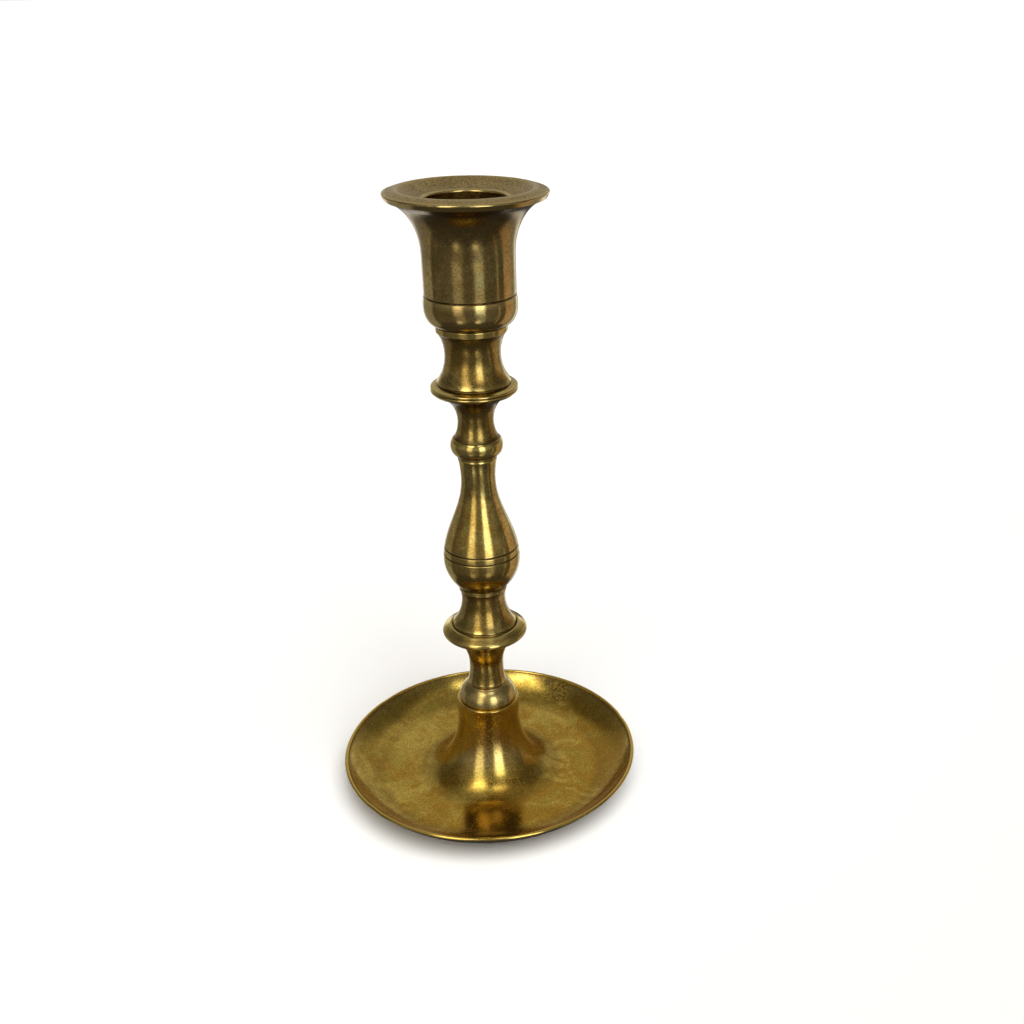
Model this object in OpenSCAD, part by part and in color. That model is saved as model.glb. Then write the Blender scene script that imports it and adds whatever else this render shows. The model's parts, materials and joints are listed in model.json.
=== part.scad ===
// Brass candlestick with a saucer foot. The stem is turned in short sections that
// locate in one another and are drawn together by one threaded rod.
// Millimetres, +Z up. The origin is the middle of the ring that it stands on.

/* [Saucer foot] */
// Radius of the saucer at its rim
pan_r = 45.3; // [44:0.1:48]
// Height of the saucer's rim
pan_h = 9.8; // [9:0.1:11]
// Thickness of the saucer's rim
pan_lip = 1.1; // [0.9:0.1:1.4]
// Height of the saucer's floor at the foot of the trumpet
floor_z = 3; // [2.8:0.1:3.6]
// Thickness of the saucer's floor
floor_t = 1.6; // [1.4:0.1:1.8]
// Radius at which the saucer's wall starts to rise
wall_foot_r = 33.5; // [33:0.5:34]
// Outer radius of the ring that the foot stands on
ring_r = 33; // [32:0.5:34]
// Width of that ring
ring_w = 3; // [2:0.5:5]

/* [Trumpet] */
// Height of the trumpet's top face, where the stem starts
trumpet_h = 28.6; // [28:0.1:32]
// Radius of the trumpet's top lip
trumpet_r = 9.4; // [9.2:0.1:10]
// Radius at which the trumpet runs out into the floor
trumpet_foot_r = 22; // [20:0.5:24]
// Height above the floor at which the trumpet starts to flare
flare_h = 20.8; // [18:0.2:22]
// Height of the face inside the trumpet that the lower nut pulls against
seat_z = 17.5; // [16:0.5:18]
// Radius of the hollow at that face
seat_r = 7.4; // [7:0.1:7.6]

/* [Stem sections] */
// Height of the domed collar on the trumpet
collar_h = 5.7; // [5:0.1:7]
// Radius of the domed collar
collar_r = 8.6; // [8.2:0.1:8.8]
// Height of the lower section, a short column under a knop
lower_h = 20.7; // [19:0.1:24]
// Smallest radius of the short column
column_r = 5.1; // [4.9:0.1:5.4]
// Radius of the lower knop
lower_knop_r = 12.5; // [11.8:0.1:14]
// Height of the baluster
baluster_h = 52.6; // [50:0.1:60]
// Radius of the baluster's belly
belly_r = 11; // [10.5:0.1:12]
// Height of the belly above the foot of the baluster
belly_up = 21.5; // [20.5:0.1:24]
// Radius of the baluster's upper neck
upper_neck_r = 4.85; // [4.8:0.05:5.2]
// Height of the upper section, a bead and a spool under a knop
upper_h = 21.3; // [21:0.1:24]
// Radius of the bead
bead_r = 7.3; // [7:0.1:8]
// Radius of the upper knop
upper_knop_r = 11.8; // [11.2:0.1:13]
// Height of the neck under the cup
neck_h = 15.7; // [15:0.1:18]
// Smallest radius of the neck
neck_r = 7.5; // [7:0.1:8]

/* [Candle cup] */
// Height of the candle cup
cup_h = 34.2; // [33.3:0.1:36.8]
// Radius of the cup's body
cup_r = 12.1; // [12:0.1:12.3]
// Radius of the bowl under the body, at its fullest
bowl_r = 12.4; // [12.3:0.1:12.8]
// Radius of the cup's wide rim
rim_r = 21; // [20.5:0.1:23]
// Radius of the ridge that runs round the rim
ridge_r = 17.5; // [17:0.1:18.5]
// Height of that ridge above the rim's outer edge
ridge_h = 0.8; // [0.6:0.1:1]
// Thickness of the rim's edge
rim_t = 1.6; // [1.4:0.1:1.8]
// Radius of the candle socket
socket_r = 10.6; // [10.4:0.1:10.9]
// Depth of the candle socket below the ridge
socket_depth = 25.8; // [23.8:0.5:26.8]

/* [Rod and nuts] */
// Radius of the threaded rod
rod_r = 2.5; // [2.3:0.1:2.6]
// Clearance round the rod in each section
rod_gap = 0.25; // [0.15:0.05:0.3]
// Distance across the flats of the lower nut
nut_flats = 8; // [7.5:0.5:9]
// Thickness of the lower nut
nut_t = 4; // [3:0.5:4.5]
// Thickness of each flat washer
washer_t = 1; // [0.8:0.1:1.2]

/* [Hidden] */
$fn = 96;
// Number of steps along each curve
steps = 16;

// Height of the foot of each section, from the trumpet up to the rim
collar_z = trumpet_h;
lower_z = collar_z + collar_h;
baluster_z = lower_z + lower_h;
upper_z = baluster_z + baluster_h;
neck_z = upper_z + upper_h;
cup_z = neck_z + neck_h;
top_z = cup_z + cup_h;

// Each section stands in the one below by a short spigot, with a little air round and under it
bore_r = rod_r + rod_gap;
spigot_r = 4;
small_spigot_r = 3.7;
spigot_h = 1.6;
spigot_gap = 0.1;
// Size of the small chamfer that is turned where two sections meet, and of a fine sunk line
chamfer = 0.3;
line_r = 0.3;
// How far the curve of a bell or a waist turns, in degrees
gentle = 40;

// The well in the socket's floor hides the upper nut from the candle
socket_z = top_z - socket_depth;
well_r = 7;
well_z = cup_z + 3.4;
// The rim's face dips from the ridge to the socket, whose mouth opens out in a quarter of an oval
mouth_w = 0.9;
mouth_depth = 0.6;
mouth_drop = 2.35;
cup_washer_r = 6;
cup_nut_r = 5;
cup_nut_t = 2.6;
slot_w = 1.2;
slot_depth = 1;

// The lower washers and nut hang below the seat inside the trumpet
base_washer_r = 6.4;
lock_washer_r = 4.4;
lock_washer_t = 1.2;
lock_gap = 0.8;
washer_z = seat_z - washer_t;
lock_z = washer_z - lock_washer_t;
nut_z = lock_z - nut_t;
cup_nut_z = well_z + washer_t;
// How far the rod stands out of each nut
rod_foot_out = 2.4;
rod_top_out = 0.5;
rod_chamfer = 0.4;
nut_gap = 0.05;

brass = [0.62, 0.49, 0.20];
dark_brass = [0.50, 0.39, 0.16];
steel = [0.45, 0.45, 0.46];

// A bend that leaves a upright and has turned by the given angle at b
function bend(a, b, turn = 90) =
    [for (i = [0 : steps])
        let (t = turn * i / steps)
        [a.x + (b.x - a.x) * (1 - cos(t)) / (1 - cos(turn)), a.y + (b.y - a.y) * sin(t) / sin(turn)]];

// An S-shaped stretch that is upright at a and at b
function wave(a, b) =
    [for (i = [0 : steps])
        let (t = 180 * i / steps)
        [a.x + (b.x - a.x) * (1 - cos(t)) / 2, a.y + (b.y - a.y) * i / steps]];

// Part of a circle
function arc(middle, r, from, to) =
    [for (i = [0 : steps])
        let (t = from + (to - from) * i / steps)
        middle + r * [cos(t), sin(t)]];

// A dish's curve: level at low, and steeper and steeper up to high
function dish(low, high, power) =
    [for (i = [0 : steps])
        let (u = i / steps)
        [low.x + (high.x - low.x) * u, low.y + (high.y - low.y) * pow(u, power)]];

function backwards(points) = [for (i = [len(points) - 1 : -1 : 0]) points[i]];

// The points without any that repeats the one before it
function clean(points) =
    [for (i = [0 : len(points) - 1])
        if (i == 0 || norm(points[i] - points[i - 1]) > 0.02)
            points[i]];

// The outline moved up by z
function raised(points, z) = [for (p = points) p + [0, z]];

// A turned piece with a bore for the rod; its outline runs from the foot up
module turned(outline) {
    foot_z = outline[0].y;
    head_z = outline[len(outline) - 1].y;
    rotate_extrude()
        polygon(clean(concat([[bore_r, foot_z]], outline, [[bore_r, head_z]])));
}

// A short tube below the foot of a section, which locates it in the one below
module spigot(foot_z, r) {
    translate([0, 0, foot_z - spigot_h])
        difference() {
            cylinder(h = spigot_h + 1, r = r);
            translate([0, 0, -1])
                cylinder(h = spigot_h + 3, r = bore_r);
        }
}

// The round recess in the head of a section that takes the next one's spigot
module recess(head_z, r) {
    translate([0, 0, head_z - spigot_h - spigot_gap])
        cylinder(h = spigot_h + 1, r = r + spigot_gap);
}

// A fine line cut round a section
module sunk_line(z, r) {
    translate([0, 0, z])
        rotate_extrude()
            translate([r + line_r / 3, 0])
                circle(r = line_r);
}

// The cast foot: a thin dish that rises in the middle into a hollow trumpet
module saucer_base() {
    under_z = floor_z - floor_t;
    half_lip = pan_lip / 2;
    lip_z = pan_h - half_lip;
    ring_in = ring_r - ring_w;
    hollow_foot_r = trumpet_foot_r - 1;
    wall_power = 2;
    hollow = bend([seat_r, seat_z], [hollow_foot_r, under_z]);
    ring = [[ring_in, under_z], [ring_in + chamfer, 0], [ring_r - chamfer, 0]];
    outside = dish([ring_r, under_z], [pan_r, lip_z], wall_power);
    lip = arc([pan_r - half_lip, lip_z], half_lip, 0, 180);
    wall = backwards(dish([wall_foot_r, floor_z], [pan_r - pan_lip, lip_z], wall_power));
    flare = backwards(bend([trumpet_r, floor_z + flare_h], [trumpet_foot_r, floor_z]));
    head = [[trumpet_r, trumpet_h - chamfer], [trumpet_r - chamfer, trumpet_h]];
    color(brass)
        difference() {
            turned(concat(hollow, ring, outside, lip, wall, flare, head));
            recess(trumpet_h, spigot_r);
        }
}

// The dome between the trumpet and the column, with a thin lip round its top
module domed_collar() {
    lip_r = column_r + 0.85;
    dome_z = 0.6;
    dome_turn = 60;
    foot = [[collar_r - chamfer, 0], [collar_r, dome_z]];
    dome = bend([collar_r, dome_z], [lip_r + line_r / 3, collar_h - chamfer], dome_turn);
    color(dark_brass)
        difference() {
            union() {
                turned(raised(concat(foot, dome, [[lip_r, collar_h]]), collar_z));
                spigot(collar_z, spigot_r);
            }
            recess(lower_z, small_spigot_r);
        }
}

// The short waisted column and the knop on top of it
module lower_knop() {
    foot_r = column_r + 0.65;
    foot_z = 0.8;
    waist_z = 6;
    waist_h = 0.6;
    edge_r = 1;
    edge_z = lower_h - 2.4;
    under_r = lower_knop_r - 0.9;
    under_z = edge_z - 1.2;
    under_turn = 78;
    // The top steps down to a shallow groove and up again to the seat of the baluster
    groove_r = lower_knop_r - 3.1;
    groove_depth = 0.5;
    top_drop = 0.2;
    foot = [[foot_r - chamfer / 2, 0], [foot_r, chamfer]];
    column = backwards(bend([column_r, waist_z], [foot_r, foot_z], gentle));
    under = bend([column_r, waist_z + waist_h], [under_r, under_z], under_turn);
    edge = arc([lower_knop_r - edge_r, edge_z], edge_r, -50, 62);
    top = [[groove_r + 0.8, lower_h - top_drop], [groove_r + 0.4, lower_h - top_drop]];
    groove = [[groove_r, lower_h - groove_depth], [groove_r - chamfer, lower_h]];
    color(brass)
        difference() {
            union() {
                turned(raised(concat(foot, column, under, edge, top, groove), lower_z));
                spigot(lower_z, small_spigot_r);
            }
            recess(baluster_z, spigot_r);
        }
}

// The long baluster: a bell at the foot, a full belly and a slender neck
module baluster() {
    bell_r = 9.3;
    bell_z = 0.5;
    waist_r = 6.4;
    waist_z = 8.3;
    fillet_r = 7;
    fillet_z = waist_z + 3;
    fillet_h = 1.2;
    fillet_edge = 0.2;
    fillet_top = fillet_z + fillet_h;
    slender_z = baluster_h - 6.8;
    head_r = upper_neck_r + 0.65;
    flare_turn = 45;
    // Two fine lines run round just above the fullest part of the belly
    lines_up = [2, 4];
    lines_in = [0.05, 0.35];
    foot = [[bell_r - chamfer, 0], [bell_r, chamfer]];
    bell = backwards(bend([waist_r, waist_z], [bell_r, bell_z], gentle));
    waist = bend([waist_r, waist_z], [fillet_r - fillet_edge, fillet_z], gentle);
    fillet = [[fillet_r, fillet_z + fillet_edge], [fillet_r, fillet_top],
              [fillet_r - fillet_edge, fillet_top + fillet_edge]];
    lower_belly = backwards(bend([belly_r, belly_up], [fillet_r, fillet_top + chamfer], gentle));
    upper_belly = wave([belly_r, belly_up], [upper_neck_r, slender_z]);
    flare = bend([upper_neck_r, slender_z], [head_r, baluster_h - 0.5], flare_turn);
    head = concat(flare, [[head_r - 0.2, baluster_h]]);
    color(brass)
        difference() {
            union() {
                turned(raised(concat(foot, bell, waist, fillet, lower_belly, upper_belly, head), baluster_z));
                spigot(baluster_z, spigot_r);
            }
            recess(upper_z, small_spigot_r);
            for (i = [0, 1])
                sunk_line(baluster_z + belly_up + lines_up[i], belly_r - lines_in[i]);
        }
}

// A bead at the foot, a waisted spool and the upper knop
module upper_knop() {
    fillet_r = upper_neck_r + 0.85;
    bead_half = 2.4;
    bead_z = 3.3;
    bead_turn = 80;
    bead_foot_r = fillet_r + 0.4;
    spool_r = upper_neck_r + 0.1;
    spool_z = upper_h - 10.9;
    spool_foot_r = fillet_r + 0.5;
    under_r = upper_knop_r - 0.9;
    under_z = upper_h - 2.9;
    under_turn = 80;
    // The edge is two fine rings, one on the other
    edge_r = 0.4;
    edge_z = upper_h - 1.15;
    rings_r = upper_knop_r - edge_r;
    head_r = upper_knop_r - 2.4;
    foot = [[fillet_r - chamfer, 0], [fillet_r, chamfer / 2], [fillet_r, bead_z - bead_half - 0.1]];
    lower_bead = backwards(bend([bead_r, bead_z], [bead_foot_r, bead_z - bead_half], bead_turn));
    upper_bead = bend([bead_r, bead_z], [bead_foot_r + 0.25, bead_z + bead_half - 0.2], bead_turn);
    spool = backwards(bend([spool_r, spool_z], [spool_foot_r, bead_z + bead_half], gentle));
    under = bend([spool_r, spool_z], [under_r, under_z], under_turn);
    lower_ring = arc([rings_r, edge_z - 2 * edge_r], edge_r, -60, 80);
    upper_ring = arc([rings_r, edge_z], edge_r, -80, 70);
    groove = [[head_r + 0.6, upper_h - 0.35], [head_r + chamfer, upper_h - 0.45], [head_r, upper_h]];
    color(brass)
        difference() {
            union() {
                turned(raised(concat(foot, lower_bead, upper_bead, spool, under, lower_ring, upper_ring, groove),
                              upper_z));
                spigot(upper_z, small_spigot_r);
            }
            recess(neck_z, spigot_r);
        }
}

// The bell-shaped neck that carries the cup
module neck() {
    bell_r = 10;
    bell_z = 0.4;
    bell_turn = 45;
    waist_z = 7.7;
    band_r = 9.6;
    band_z = neck_h - 2;
    foot = [[bell_r - chamfer - 0.2, 0], [bell_r, chamfer]];
    bell = backwards(bend([neck_r, waist_z], [bell_r, bell_z], bell_turn));
    throat = bend([neck_r, waist_z], [band_r - 0.4, band_z], gentle);
    band = [[band_r, band_z + chamfer], [band_r, neck_h - chamfer], [band_r - 0.2, neck_h]];
    color(brass)
        difference() {
            union() {
                turned(raised(concat(foot, bell, throat, band), neck_z));
                spigot(neck_z, spigot_r);
            }
            recess(cup_z, spigot_r);
        }
}

// The candle cup: a round bottom, a straight body and a wide, thin, spreading rim
module candle_cup() {
    foot_r = 9.6;
    bottom_z = 0.2;
    bottom_h = 4.9;
    groove_z = 7.8;
    flare_z = 18;
    flare_turn = 76;
    flare_r = rim_r - 0.9;
    under_r = rim_r - 0.6;
    round_r = 0.4;
    under_drop = 0.1;
    lip_z = cup_h - ridge_h;
    ridge_round = 0.8;
    bevel_power = 1.4;
    dip_power = 1.35;
    foot = [[foot_r - chamfer, 0], [foot_r, bottom_z]];
    bottom = backwards(bend([bowl_r, bottom_h], [foot_r, bottom_z]));
    bowl = bend([bowl_r, bottom_h], [cup_r, groove_z], gentle);
    flare = bend([cup_r, flare_z], [flare_r, lip_z - rim_t - under_drop], flare_turn);
    edge = concat([[under_r, lip_z - rim_t]], arc([rim_r - round_r, lip_z - round_r], round_r, -10, 90));
    // The rim rises gently from its edge to the ridge, and its face dips from there to the socket
    ridge = arc([ridge_r, cup_h - ridge_round], ridge_round, 80, 118);
    bevel = backwards(dish(ridge[0], [rim_r - round_r, lip_z], bevel_power));
    dip = backwards(dish([socket_r + mouth_w, cup_h - mouth_drop], ridge[len(ridge) - 1], dip_power));
    color(brass)
        difference() {
            union() {
                turned(raised(concat(foot, bottom, bowl, flare, edge, bevel, ridge, dip), cup_z));
                spigot(cup_z, spigot_r);
            }
            translate([0, 0, well_z])
                cylinder(h = cup_h, r = well_r);
            translate([0, 0, socket_z])
                cylinder(h = cup_h, r = socket_r);
            socket_mouth();
            sunk_line(cup_z + groove_z, cup_r - 0.05);
        }
}

// The rounded mouth of the socket, as the shape that is cut away
module socket_mouth() {
    mouth_z = top_z - mouth_drop - mouth_depth;
    mouth_r = socket_r + mouth_w;
    opening = bend([socket_r, mouth_z], [mouth_r, mouth_z + mouth_depth]);
    rotate_extrude()
        polygon(concat([[0, mouth_z]], opening, [[mouth_r, top_z + 1], [0, top_z + 1]]));
}

// The rod that draws the whole stem down on to the foot
module tie_rod() {
    foot_z = nut_z - rod_foot_out;
    head_z = cup_nut_z + cup_nut_t + rod_top_out;
    color(steel)
        rotate_extrude()
            polygon([[0, foot_z], [rod_r - rod_chamfer, foot_z], [rod_r, foot_z + rod_chamfer],
                     [rod_r, head_z - rod_chamfer], [rod_r - rod_chamfer, head_z], [0, head_z]]);
}

module flat_ring(z, r, t) {
    translate([0, 0, z])
        difference() {
            cylinder(h = t, r = r);
            translate([0, 0, -1])
                cylinder(h = t + 2, r = rod_r + nut_gap);
        }
}

module cup_washer() {
    color(dark_brass)
        flat_ring(well_z, cup_washer_r, washer_t);
}

// A round nut with a slot across its top for a screwdriver with a split blade
module cup_nut() {
    color(brass)
        difference() {
            flat_ring(cup_nut_z, cup_nut_r, cup_nut_t);
            translate([-cup_nut_r - 1, -slot_w / 2, cup_nut_z + cup_nut_t - slot_depth])
                cube([2 * cup_nut_r + 2, slot_w, slot_depth + 1]);
        }
}

module base_washer() {
    color(steel)
        flat_ring(washer_z, base_washer_r, washer_t);
}

// A split spring washer
module lock_washer() {
    color(steel)
        difference() {
            flat_ring(lock_z, lock_washer_r, lock_washer_t);
            translate([0, -lock_gap / 2, lock_z - 1])
                cube([lock_washer_r + 1, lock_gap, lock_washer_t + 2]);
        }
}

// A plain hexagon nut with its corners turned off above and below
module base_nut() {
    corner_r = nut_flats / 2 / cos(30);
    face_r = corner_r - 0.6;
    cone_h = 0.4;
    color(steel)
        intersection() {
            difference() {
                translate([0, 0, nut_z])
                    cylinder(h = nut_t, r = corner_r, $fn = 6);
                translate([0, 0, nut_z - 1])
                    cylinder(h = nut_t + 2, r = rod_r + nut_gap);
            }
            translate([0, 0, nut_z])
                rotate_extrude()
                    polygon([[0, 0], [face_r, 0], [corner_r, cone_h],
                             [corner_r, nut_t - cone_h], [face_r, nut_t], [0, nut_t]]);
        }
}

saucer_base();
domed_collar();
lower_knop();
baluster();
upper_knop();
neck();
candle_cup();
tie_rod();
cup_washer();
cup_nut();
base_washer();
lock_washer();
base_nut();
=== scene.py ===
import json
import math

import bmesh
import bpy
import numpy as np
from mathutils import Matrix, Vector, noise


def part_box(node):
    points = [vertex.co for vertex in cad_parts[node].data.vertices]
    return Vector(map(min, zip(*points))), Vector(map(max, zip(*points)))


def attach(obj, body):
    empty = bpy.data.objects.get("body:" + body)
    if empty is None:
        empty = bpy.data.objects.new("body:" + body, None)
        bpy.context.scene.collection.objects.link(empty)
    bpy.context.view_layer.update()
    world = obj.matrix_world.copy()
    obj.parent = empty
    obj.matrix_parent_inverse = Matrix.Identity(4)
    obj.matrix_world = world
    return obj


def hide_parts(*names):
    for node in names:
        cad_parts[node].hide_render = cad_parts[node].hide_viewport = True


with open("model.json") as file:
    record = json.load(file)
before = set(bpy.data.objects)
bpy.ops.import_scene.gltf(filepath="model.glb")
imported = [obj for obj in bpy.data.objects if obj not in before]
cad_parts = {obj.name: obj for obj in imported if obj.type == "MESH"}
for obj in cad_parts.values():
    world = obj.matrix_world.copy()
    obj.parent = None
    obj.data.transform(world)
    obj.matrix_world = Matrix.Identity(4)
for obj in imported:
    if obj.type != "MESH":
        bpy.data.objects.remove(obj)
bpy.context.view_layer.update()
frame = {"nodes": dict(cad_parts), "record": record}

# ---------------------------------------------------------------- sizes
# Outlines are pairs of radius and height in millimetres; meshes are in metres.
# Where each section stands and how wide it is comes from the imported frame.
MM = 0.001
STACK = ["saucer_base", "domed_collar", "lower_knop", "baluster", "upper_knop", "neck", "candle_cup"]
HEAD = {node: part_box(node)[1].z / MM for node in STACK}
WIDEST = {node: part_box(node)[1].x / MM for node in STACK}
FOOT = {above: HEAD[below] for below, above in zip(STACK, STACK[1:])}
TALL = {node: HEAD[node] - FOOT[node] for node in FOOT}
JOINTS = sorted(FOOT.values())
MOUNTS = {mount["name"]: mount for mount in frame["record"]["mounts"]}
SOCKET_R = MOUNTS["candle_socket"]["dims"]["r_mm"]

# How many points go round a turned section, round the saucer, and round a washer or nut
AROUND, SAUCER_AROUND, SMALL_AROUND = 176, 240, 96
BEND_STEPS = 30
# The widest gap between an outline's points, where the shape is fine and where it is plain
FINE_GAP, COARSE_GAP = 0.6, 1.2

ROD_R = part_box("tie_rod")[1].x / MM
BORE_R = ROD_R + 0.25
HOLE_R = ROD_R + 0.05
SPIGOT_R = 4.0
SMALL_SPIGOT_R = 3.7
SPIGOT_H = 1.6
SPIGOT_GAP = 0.1
EDGE_ROUND = 0.14

# The saucer: the hollow's crown, the underside, the floor, and the top of the rim
CROWN_Z, UNDER_Z, PAN_Z, RIM_Z = 17.5, 1.4, 3.0, 9.8
STAND_R = 31.5
# The cup: the ridge on its rim, the socket and its rounded mouth, and the well for the nut
RIDGE_H, SOCKET_DEPTH, MOUTH_DROP, MOUTH_DEPTH, MOUTH_W = 0.8, 25.8, 2.35, 0.6, 0.9
WELL_Z, WELL_R = 3.4, 7.0
THREAD_LENGTH, THREAD_PITCH, THREAD_DEPTH = 15.0, 0.8, 0.46


# ---------------------------------------------------------------- outlines
def bend(a, b, turn=90.0, steps=BEND_STEPS):
    """A curve that leaves a upright and has turned by the given angle at b."""
    end = math.radians(turn)
    points = []
    for i in range(steps + 1):
        t = end * i / steps
        across = (1 - math.cos(t)) / (1 - math.cos(end))
        along = math.sin(t) / math.sin(end)
        points.append((a[0] + (b[0] - a[0]) * across, a[1] + (b[1] - a[1]) * along))
    return points


def wave(a, b, steps=2 * BEND_STEPS):
    """An S-shaped stretch that is upright at a and at b."""
    points = []
    for i in range(steps + 1):
        u = i / steps
        across = (1 - math.cos(math.pi * u)) / 2
        points.append((a[0] + (b[0] - a[0]) * across, a[1] + (b[1] - a[1]) * u))
    return points


def arc(middle, radius, start, end, steps=10):
    """Part of a circle, with its ends in degrees."""
    points = []
    for i in range(steps + 1):
        t = math.radians(start + (end - start) * i / steps)
        points.append((middle[0] + radius * math.cos(t), middle[1] + radius * math.sin(t)))
    return points


def dish(low, high, power, steps=2 * BEND_STEPS):
    """A dish's curve: level at low, and steeper and steeper up to high."""
    points = []
    for i in range(steps + 1):
        u = i / steps
        points.append((low[0] + (high[0] - low[0]) * u, low[1] + (high[1] - low[1]) * u ** power))
    return points


def back(points):
    return points[::-1]


def raised(points, z):
    return [(r, h + z) for r, h in points]


def dense(points, gap):
    """The outline with more points along its long stretches."""
    out = [points[0]]
    for p in points[1:]:
        q = out[-1]
        n = max(1, math.ceil(math.dist(p, q) / gap))
        out += [(q[0] + (p[0] - q[0]) * i / n, q[1] + (p[1] - q[1]) * i / n) for i in range(1, n + 1)]
    return out


def sunk_line(points, z, half=0.3, depth=0.2):
    """The outline with a fine rounded line cut into it at height z."""
    cut = []
    for r, h in dense(points, 0.5):
        if not cut or abs(h - z) > 1.0:
            cut.append((r, h))
            continue
        q = cut[-1]
        n = max(1, math.ceil(math.dist(q, (r, h)) / 0.07))
        cut += [(q[0] + (r - q[0]) * i / n, q[1] + (h - q[1]) * i / n) for i in range(1, n + 1)]
    return [(r - depth * max(0.0, 1 - ((h - z) / half) ** 2), h) for r, h in cut]


def tidy(points, least=0.004):
    """The outline without any point that repeats the one before it."""
    out = [points[0]]
    for p in points[1:]:
        if math.dist(p, out[-1]) > least:
            out.append(p)
    return out


def softened(points, radius=EDGE_ROUND, sharp=20.0):
    """The closed outline with its sharp corners rounded off, as polishing leaves them."""
    out = []
    count = len(points)
    for i in range(count):
        before, here, after = (Vector(points[j % count]) for j in (i - 1, i, i + 1))
        into, away = here - before, after - here
        turn = abs(math.degrees(into.angle_signed(away)))
        if turn < sharp:
            out.append(tuple(here))
            continue
        reach = min(radius, 0.3 * into.length, 0.3 * away.length)
        start = here - into.normalized() * reach
        end = here + away.normalized() * reach
        out.append(tuple(here - into.normalized() * reach * 1.5))
        for t in (0.0, 0.25, 0.5, 0.75, 1.0):
            out.append(tuple(start * (1 - t) ** 2 + here * 2 * t * (1 - t) + end * t ** 2))
        out.append(tuple(here + away.normalized() * reach * 1.5))
    return out


def section(outside, foot, head, spigot_r=None, recess_r=None):
    """A closed outline: the outside from the foot up, the recess in the head, the bore and the spigot."""
    loop = list(outside)
    if recess_r:
        r = recess_r + SPIGOT_GAP
        loop += [(r, head), (r, head - SPIGOT_H - SPIGOT_GAP), (BORE_R, head - SPIGOT_H - SPIGOT_GAP)]
    if spigot_r:
        loop += [(BORE_R, foot - SPIGOT_H), (spigot_r, foot - SPIGOT_H), (spigot_r, foot)]
    else:
        loop += [(BORE_R, foot)]
    return loop


def saucer_outline():
    pan_r, head, half = WIDEST["saucer_base"], HEAD["saucer_base"], 0.55
    lip_z = RIM_Z - half
    hollow = bend((7.4, CROWN_Z), (21.0, UNDER_Z))
    ring = [(30.0, UNDER_Z), (30.3, 0.0), (32.7, 0.0)]
    outside = dish((33.0, UNDER_Z), (pan_r, lip_z), 2)
    edge = arc((pan_r - half, lip_z), half, 0, 180)
    wall = back(dish((33.5, PAN_Z), (pan_r - 2 * half, lip_z), 2))
    flare = back(bend((9.4, 23.8), (22.0, PAN_Z)))
    top = [(9.4, head - 0.3), (9.1, head)]
    visible = dense(tidy(hollow + ring + outside + edge + wall + flare + top), COARSE_GAP)
    return section([(BORE_R, CROWN_Z)] + visible, CROWN_Z, head, None, SPIGOT_R)[:-1]


def collar_outline():
    foot, head, h = FOOT["domed_collar"], HEAD["domed_collar"], TALL["domed_collar"]
    dome = bend((8.6, 0.6), (6.05, h - 0.3), 60)
    visible = tidy([(8.3, 0.0), (8.6, 0.45)] + dome + [(5.95, h - 0.08), (5.8, h)])
    return section(raised(dense(visible, FINE_GAP), foot), foot, head, SPIGOT_R, SMALL_SPIGOT_R)


def lower_knop_outline():
    foot, head, h = FOOT["lower_knop"], HEAD["lower_knop"], TALL["lower_knop"]
    column = back(bend((5.1, 6.0), (5.75, 0.8), 40))
    under = bend((5.1, 6.6), (11.6, h - 3.6), 78)
    edge = arc((11.5, h - 2.4), 1.0, -50, 62)
    top = [(10.2, h - 0.2), (9.8, h - 0.15), (9.4, h - 0.5), (9.1, h)]
    visible = tidy([(5.6, 0.0), (5.75, 0.3)] + column + under + edge + top)
    return section(raised(dense(visible, FINE_GAP), foot), foot, head, SMALL_SPIGOT_R, SPIGOT_R)


def baluster_outline():
    foot, head, h = FOOT["baluster"], HEAD["baluster"], TALL["baluster"]
    bell = back(bend((6.4, 8.3), (9.3, 0.5), 40))
    waist = bend((6.4, 8.3), (6.75, 11.3), 40)
    fillet = [(7.0, 11.5), (7.0, 12.5), (6.8, 12.7)]
    lower = back(bend((11.0, 21.5), (7.0, 12.8), 40))
    upper = wave((11.0, 21.5), (4.85, h - 6.8))
    flare = bend((4.85, h - 6.8), (5.5, h - 0.5), 45)
    visible = tidy([(9.0, 0.0), (9.3, 0.3)] + bell + waist + fillet + lower + upper + flare + [(5.3, h)])
    visible = sunk_line(sunk_line(visible, 23.5), 25.5)
    return section(raised(dense(visible, FINE_GAP), foot), foot, head, SPIGOT_R, SMALL_SPIGOT_R)


def upper_knop_outline():
    foot, head, h = FOOT["upper_knop"], HEAD["upper_knop"], TALL["upper_knop"]
    start = [(5.4, 0.0), (5.7, 0.15), (5.7, 0.8)]
    lower_bead = back(bend((7.3, 3.3), (6.1, 0.9), 80))
    upper_bead = bend((7.3, 3.3), (6.35, 5.5), 80)
    spool = back(bend((4.95, 10.4), (6.2, 5.7), 40))
    under = bend((4.95, 10.4), (10.9, h - 2.9), 80)
    lower_edge = arc((11.4, h - 1.95), 0.4, -60, 80)
    upper_edge = arc((11.4, h - 1.15), 0.4, -80, 70)
    top = [(10.0, h - 0.35), (9.7, h - 0.45), (9.4, h)]
    visible = tidy(start + lower_bead + upper_bead + spool + under + lower_edge + upper_edge + top)
    return section(raised(dense(visible, FINE_GAP), foot), foot, head, SMALL_SPIGOT_R, SPIGOT_R)


def neck_outline():
    foot, head, h = FOOT["neck"], HEAD["neck"], TALL["neck"]
    bell = back(bend((7.5, 7.7), (10.0, 0.4), 45))
    throat = bend((7.5, 7.7), (9.2, h - 2.0), 40)
    band = [(9.6, h - 1.7), (9.6, h - 0.3), (9.4, h)]
    visible = tidy([(9.5, 0.0), (10.0, 0.3)] + bell + throat + band)
    return section(raised(dense(visible, FINE_GAP), foot), foot, head, SPIGOT_R, SPIGOT_R)


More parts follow.
